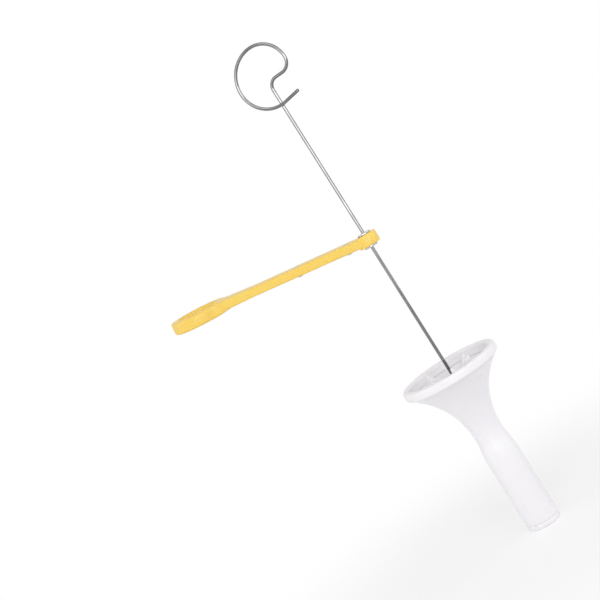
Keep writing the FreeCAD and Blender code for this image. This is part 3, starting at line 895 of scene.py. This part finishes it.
def arm_grids(arm):
    """The arm's skin: top, eased edge, wall, eased edge and underside, between spine and outline.

    Both halves mirror each other, and separate strips close the finger hole and the notch
    inside the hub.
    """
    outline, spine, by_hub, by_ring = arm_plan(arm)
    along = np.gradient(outline, axis=0)
    along[-1] = (0, -1)
    inward = np.column_stack([-along[:, 1], along[:, 0]]) / np.linalg.norm(along, axis=1)[:, None]
    spread = [75, 95]
    edge = np.interp(-outline[:, 0], spread, [arm.bar_edge, arm.ring_edge])[:, None]
    brink = outline + inward * edge
    share = np.array([0, 0.12, 0.3, 0.5, 0.7, 0.88, 1])[:, None, None]
    flat = spine + (brink - spine) * share
    high, low = arm_faces(arm, flat[..., 0], flat[..., 1])
    rim_high, rim_low = arm_faces(arm, brink[:, 0], brink[:, 1])
    turn = np.linspace(np.pi / 2, 0, 7)[1:, None, None]
    bent = brink - inward * edge * np.cos(turn)
    drop = edge[:, 0] * (1 - np.sin(turn[..., 0]))
    wall = np.linspace(0, 1, 5)[1:-1, None]
    wall_height = (rim_high - edge[:, 0]) * (1 - wall) + (rim_low + edge[:, 0]) * wall
    rows = [
        np.dstack([flat, high]),
        np.dstack([bent, rim_high - drop]),
        np.dstack([np.broadcast_to(outline, (3, *outline.shape)), wall_height]),
        np.dstack([bent[::-1], (rim_low + drop)[::-1]]),
        np.dstack([flat[::-1], low[::-1]]),
    ]
    skin = np.concatenate(rows)
    whole = mirrored(skin)
    end_middle = skin[:, :1].mean(axis=0, keepdims=True)
    first_end = np.repeat(end_middle, len(skin), axis=0)
    whole = np.concatenate([first_end, whole, first_end * (1, -1, 1)], axis=1)
    notch_top, notch_low = skin[0, by_hub], skin[-1, by_hub]
    notch = mirrored(np.stack([notch_low, notch_top]))
    notch = np.concatenate([first_end[:2], notch, first_end[:2] * (1, -1, 1)], axis=1)
    ring_top, ring_low = skin[0, by_ring], skin[-1, by_ring]
    centre = np.array([-arm.ring_distance, 0, 0])
    outward = (ring_top - centre) * (1, 1, 0)
    outward /= np.linalg.norm(outward, axis=1)[:, None]
    turn = np.linspace(np.pi / 2, 0, 7)[:, None, None]
    across = outward * arm.ring_edge * np.cos(turn)
    down = np.array([0, 0, arm.ring_edge]) * (1 - np.sin(turn))
    over = ring_top - across - down
    under = ring_low - across + down
    hole = mirrored(np.concatenate([over, under[::-1]]))
    return [on_arm(grid, arm) for grid in (whole, notch, hole)]


class CUTTER_OT_arm_body(bpy.types.Operator):
    """Makes the yellow bar with its finger ring"""

    bl_idname = "cutter.arm_body"
    bl_label = "Arm and finger ring"

    def execute(self, context):
        arm = in_millimetres(context.scene.cutter_arm)
        yellow = yellow_plastic(context.scene.cutter_finish)
        piece("arm_body", arm_grids(arm), "cutter", "cutter_arm", yellow)
        return {"FINISHED"}


class CUTTER_OT_hub_boss(bpy.types.Operator):
    """Makes the arm's round hub with its bore"""

    bl_idname = "cutter.hub_boss"
    bl_label = "Hub"

    def execute(self, context):
        arm = in_millimetres(context.scene.cutter_arm)
        foot = arm.height - arm.hub_height / 2
        top = arm.height + arm.hub_height / 2
        bore = arm.bush_radius + RUNNING_GAP
        section = eased([
            (bore, foot, 0.15),
            (arm.hub_radius, foot, 0.6),
            (arm.hub_radius, top, 0.6),
            (bore, top, 0.15),
        ])
        yellow = yellow_plastic(context.scene.cutter_finish)
        grid = turned(section, once_round(3.0))
        piece("hub_boss", [grid], "cutter", "cutter_arm", yellow)
        return {"FINISHED"}


class CUTTER_OT_bush_and_ring(bpy.types.Operator):
    """Makes the flanged steel bush in the hub and the ring that keeps the hub on it"""

    bl_idname = "cutter.bush_and_ring"
    bl_label = "Bush and retaining ring"

    def execute(self, context):
        arm = in_millimetres(context.scene.cutter_arm)
        wire = in_millimetres(context.scene.cutter_wire)
        foot = arm.height - arm.hub_height / 2 - SEAT_GAP - arm.flange_thickness
        top = arm.height + arm.hub_height / 2 + SEAT_GAP + arm.flange_thickness
        bore = wire.radius + RUNNING_GAP
        sleeve = eased([
            (bore, foot, 0.12),
            (arm.flange_radius, foot, 0.22),
            (arm.flange_radius, foot + arm.flange_thickness, 0.12),
            (arm.bush_radius, foot + arm.flange_thickness, 0.1),
            (arm.bush_radius, top, 0.18),
            (bore, top, 0.12),
        ])
        ring = eased([
            (arm.bush_radius + FIT_GAP, top - arm.flange_thickness, 0.08),
            (arm.flange_radius, top - arm.flange_thickness, 0.15),
            (arm.flange_radius, top, 0.22),
            (arm.bush_radius + FIT_GAP, top, 0.12),
        ])
        finish = context.scene.cutter_finish
        steel = worked_steel(
            "turned_steel", finish.bush_grey, finish.steel_roughness, (0.15, 0.15, 6.0), 900)
        angles = once_round(5.0)
        piece("bush_sleeve", [turned(sleeve, angles)], "bush", "hub_bush", steel)
        piece("retaining_ring", [turned(ring, angles)], "bush", "hub_retaining_ring", steel)
        return {"FINISHED"}


# Blade and rivets

def blade_faces(arm, blade):
    """The blade's front and back edges and the height of its upper face, drawn level."""
    front = arm.bar_width / 2 + blade.overhang
    return front, front - blade.width, blade.recess - arm.bar_thickness / 2


def blade_grid(arm, blade):
    """The strip's section carried along the arm, narrowed at both ends by a quarter round.

    The section is drawn in about its middle by the corner radius less the height of a
    circle of that radius.
    """
    front, back, top = blade_faces(arm, blade)
    foot = top - blade.thickness
    section = eased([
        (back, foot, 0.08),
        (front, foot, 0.02),
        (front, foot + blade.edge, 0.03),
        (front - blade.ground, top, 0.12),
        (back, top, 0.08),
    ], steps=3)
    near = arm.hub_radius + blade.hub_gap
    corner = 0.9
    turn = np.linspace(0, np.pi / 2, 9)
    from_end = np.sort(corner * (1 - np.cos(turn)))
    drawn = corner - np.sqrt(corner ** 2 - (corner - from_end) ** 2)
    inner = np.linspace(corner, blade.length - corner, 30)[1:-1]
    xs = np.concatenate([from_end, inner, blade.length - from_end[::-1]])
    drawn = np.concatenate([drawn, np.zeros_like(inner), drawn[::-1]])
    middle = (front + back) / 2
    narrowed = 1 - 2 * drawn / blade.width
    ys = middle + (section[:, :1] - middle) * narrowed
    zs = np.broadcast_to(section[:, 1:], ys.shape)
    grid = np.dstack([np.broadcast_to(-near - xs, ys.shape), ys, zs])
    ends = [np.broadcast_to(grid[:-1, at].mean(axis=0), (len(section), 1, 3)) for at in (0, -1)]
    return on_arm(np.concatenate([ends[0], grid, ends[1]], axis=1), arm)


def rivet_grids(arm, blade):
    """Two rivets: a shank between a domed head below and a nearly flat, sunk one above.

    The dome's radius is (height squared + head radius squared) / 2 heights.
    """
    _, back, top = blade_faces(arm, blade)
    foot = top - blade.thickness
    dome = (blade.head_height ** 2 + blade.head_radius ** 2) / (2 * blade.head_height)
    sweep = np.degrees(np.arcsin(blade.head_radius / dome))
    brow = arm.bar_thickness / 2
    upper = eased([
        (blade.head_radius, brow - 0.3, 0),
        (blade.head_radius, brow + 0.04, 0.15),
        (0, brow + 0.1, 0),
    ])[:-1]
    lower = arc(0, foot - blade.head_height + dome, dome, -90, sweep - 90, 9)
    section = np.vstack([
        lower,
        [(blade.head_radius - FIT_GAP, foot + FIT_GAP)],
        [(blade.rivet_radius, foot + FIT_GAP)],
        [(blade.rivet_radius, brow - blade.head_height)],
        [(blade.head_radius, brow - blade.head_height)],
        upper,
    ])
    near = arm.hub_radius + blade.hub_gap
    rivet = turned(section, once_round(7.5))
    spots = [near + blade.rivet_inset, near + blade.length - blade.rivet_inset]
    return [on_arm(rivet + (-spot, back + blade.rivet_from_back, 0), arm) for spot in spots]


class CUTTER_OT_blade_strip(bpy.types.Operator):
    """Makes the ground steel blade"""

    bl_idname = "cutter.blade_strip"
    bl_label = "Blade"

    def execute(self, context):
        arm = in_millimetres(context.scene.cutter_arm)
        blade = in_millimetres(context.scene.cutter_blade)
        finish = context.scene.cutter_finish
        steel = worked_steel(
            "ground_steel", finish.blade_grey, finish.steel_roughness, (8.0, 0.2, 0.2), 500)
        piece("blade_strip", [blade_grid(arm, blade)], "cutter", "cutter_blade", steel)
        return {"FINISHED"}


class CUTTER_OT_rivet_heads(bpy.types.Operator):
    """Makes the two rivets that hold the blade"""

    bl_idname = "cutter.rivet_heads"
    bl_label = "Rivets"

    def execute(self, context):
        arm = in_millimetres(context.scene.cutter_arm)
        blade = in_millimetres(context.scene.cutter_blade)
        finish = context.scene.cutter_finish
        steel = worked_steel(
            "headed_steel", finish.bush_grey, finish.steel_roughness, (1.0, 1.0, 1.0), 1500)
        piece("rivet_heads", rivet_grids(arm, blade), "cutter", "blade_rivets", steel)
        return {"FINISHED"}


# Stage

def seen_plainly(tree):
    """1 for rays from the camera, off gloss or through glass, and 0 for all others."""
    rays = add(tree, "ShaderNodeLightPath")
    seen = combined(tree, "MAXIMUM", rays.outputs["Is Camera Ray"], rays.outputs["Is Glossy Ray"])
    return combined(tree, "MAXIMUM", seen, rays.outputs["Is Transmission Ray"])


def pale_floor(stage):
    """Large pale floor that turns plain white away from the cutter, for what the camera sees.

    The lit floor gives way to white by a soft step of the distance from the handle's foot.
    """
    half = stage.floor_size
    mesh = bpy.data.meshes.new("floor")
    corners = [(-half, -half, 0), (half, -half, 0), (half, half, 0), (-half, half, 0)]
    mesh.from_pydata(corners, [], [(0, 1, 2, 3)])
    floor = bpy.data.objects.new("floor", mesh)
    bpy.context.scene.collection.objects.link(floor)
    material, tree, shader, place = fresh("floor_paint")
    mesh.materials.append(material)
    fill(tree, shader, {"Base Color": (0.93, 0.93, 0.935, 1), "Roughness": 0.8})
    distance = add(tree, "ShaderNodeVectorMath", {0: place}, operation="LENGTH").outputs["Value"]
    near, far = 0.03, 0.24
    inputs = {"Value": distance, "From Min": near, "From Max": far, "To Min": 0.6}
    away = add(tree, "ShaderNodeMapRange", inputs, interpolation_type="SMOOTHERSTEP").outputs[0]
    amount = combined(tree, "MULTIPLY", seen_plainly(tree), away)
    white = add(tree, "ShaderNodeEmission", {"Color": (1, 1, 1, 1), "Strength": 1.0}).outputs[0]
    mixed = add(tree, "ShaderNodeMixShader", {0: amount, 1: shader.outputs[0], 2: white}).outputs[0]
    tree.links.new(mixed, tree.nodes["Material Output"].inputs["Surface"])


def room(stage):
    """Even room light, and a white room for what is seen straight, reflected or through."""
    world = bpy.data.worlds.new("room")
    bpy.context.scene.world = world
    world.use_nodes = True
    tree = world.node_tree
    even = tree.nodes["Background"]
    fill(tree, even, {"Strength": stage.room_light, "Color": (1, 1, 1, 1)})
    seen = seen_plainly(tree)
    white = add(tree, "ShaderNodeBackground", {"Color": (1, 1, 1, 1), "Strength": 1.0}).outputs[0]
    inputs = {0: seen, 1: even.outputs[0], 2: white}
    mixed = add(tree, "ShaderNodeMixShader", inputs).outputs[0]
    tree.links.new(mixed, tree.nodes["World Output"].inputs["Surface"])


def soft_lamp(name, power, width, height, place, aim, shows):
    """Rectangular lamp that faces a point and shows in dull surfaces, in gloss or in both."""
    light = bpy.data.lights.new(name, "AREA")
    light.shape = "RECTANGLE"
    light.energy = power
    light.size = width
    light.size_y = height
    lamp = bpy.data.objects.new(name, light)
    bpy.context.scene.collection.objects.link(lamp)
    lamp.location = place
    lamp.rotation_euler = (Vector(aim) - Vector(place)).to_track_quat("-Z", "Y").to_euler()
    lamp.visible_diffuse = shows != "gloss"
    lamp.visible_glossy = shows != "dull"


def picture_camera(stage):
    """Camera from its place, aim and roll."""
    place = Vector(stage.camera_place)
    sight = (Vector(stage.camera_aim) - place).normalized()
    level = sight.cross(Vector((0, 0, 1))).normalized()
    upright = level.cross(sight)
    roll = stage.camera_roll
    right = level * np.cos(roll) - upright * np.sin(roll)
    up = upright * np.cos(roll) + level * np.sin(roll)
    view = bpy.data.cameras.new("picture_camera")
    view.lens = stage.lens
    view.sensor_width = 36
    camera = bpy.data.objects.new("picture_camera", view)
    bpy.context.scene.collection.objects.link(camera)
    turn = Matrix((right, up, -sight)).transposed()
    camera.matrix_world = Matrix.Translation(place) @ turn.to_4x4()
    bpy.context.scene.camera = camera


class CUTTER_OT_stage(bpy.types.Operator):
    """Makes the floor, the room light, the lamps and the camera"""

    bl_idname = "cutter.stage"
    bl_label = "Stage"

    def execute(self, context):
        stage = context.scene.cutter_stage
        context.scene.view_settings.view_transform = "Standard"
        pale_floor(stage)
        room(stage)
        picture_camera(stage)
        middle = (0, 0, 0.13)
        lamps = (
            ("key_lamp", stage.key_power, 0.9, 0.6, (0.44, -0.9, 0.3), "dull"),
            ("strip_lamp", stage.strip_power, 1.2, 0.34, (0.40, -0.82, 0.285), "gloss"),
            ("upper_lamp", stage.upper_power, 0.8, 0.8, (0.35, -0.65, 0.95), "both"),
            ("left_lamp", stage.side_power, 1.2, 1.2, (-0.84, -0.7, 0.35), "both"),
            ("right_lamp", stage.side_power, 1.2, 1.2, (1.07, 0.23, 0.35), "both"),
        )
        for name, power, width, height, place, shows in lamps:
            soft_lamp(name, power, width, height, place, middle, shows)
        return {"FINISHED"}


# Add-on

GROUPS = {
    "cutter_handle": HandleSizes,
    "cutter_insert": InsertSizes,
    "cutter_wire": WireSizes,
    "cutter_arm": ArmSizes,
    "cutter_blade": BladeSizes,
    "cutter_finish": Finishes,
    "cutter_stage": StageSizes,
}

OPERATORS = (
    CUTTER_OT_horn_body,
    CUTTER_OT_grip_cap,
    CUTTER_OT_insert_core,
    CUTTER_OT_insert_spikes,
    CUTTER_OT_skewer_wire,
    CUTTER_OT_arm_body,
    CUTTER_OT_hub_boss,
    CUTTER_OT_bush_and_ring,
    CUTTER_OT_blade_strip,
    CUTTER_OT_rivet_heads,
    CUTTER_OT_stage,
)


class CUTTER_PT_panel(bpy.types.Panel):
    """Lists the cutter's sizes, colours and pieces in the sidebar"""

    bl_idname = "CUTTER_PT_panel"
    bl_label = "Tornado potato cutter"
    bl_space_type = "VIEW_3D"
    bl_region_type = "UI"
    bl_category = "Cutter"

    def draw(self, context):
        for key, group in GROUPS.items():
            box = self.layout.box()
            box.label(text=group.__doc__)
            for name in group.__annotations__:
                box.prop(getattr(context.scene, key), name)
        for operator in OPERATORS:
            self.layout.operator(operator.bl_idname)


def register():
    for kind in (*GROUPS.values(), *OPERATORS, CUTTER_PT_panel):
        bpy.utils.register_class(kind)
    for key, group in GROUPS.items():
        setattr(bpy.types.Scene, key, PointerProperty(type=group))


def unregister():
    for key in GROUPS:
        delattr(bpy.types.Scene, key)
    for kind in reversed((*GROUPS.values(), *OPERATORS, CUTTER_PT_panel)):
        bpy.utils.unregister_class(kind)


def main():
    register()
    bpy.ops.cutter.horn_body()
    bpy.ops.cutter.grip_cap()
    bpy.ops.cutter.insert_core()
    bpy.ops.cutter.insert_spikes()
    bpy.ops.cutter.skewer_wire()
    bpy.ops.cutter.arm_body()
    bpy.ops.cutter.hub_boss()
    bpy.ops.cutter.bush_and_ring()
    bpy.ops.cutter.blade_strip()
    bpy.ops.cutter.rivet_heads()
    bpy.ops.cutter.stage()


if __name__ == "__main__":
    main()
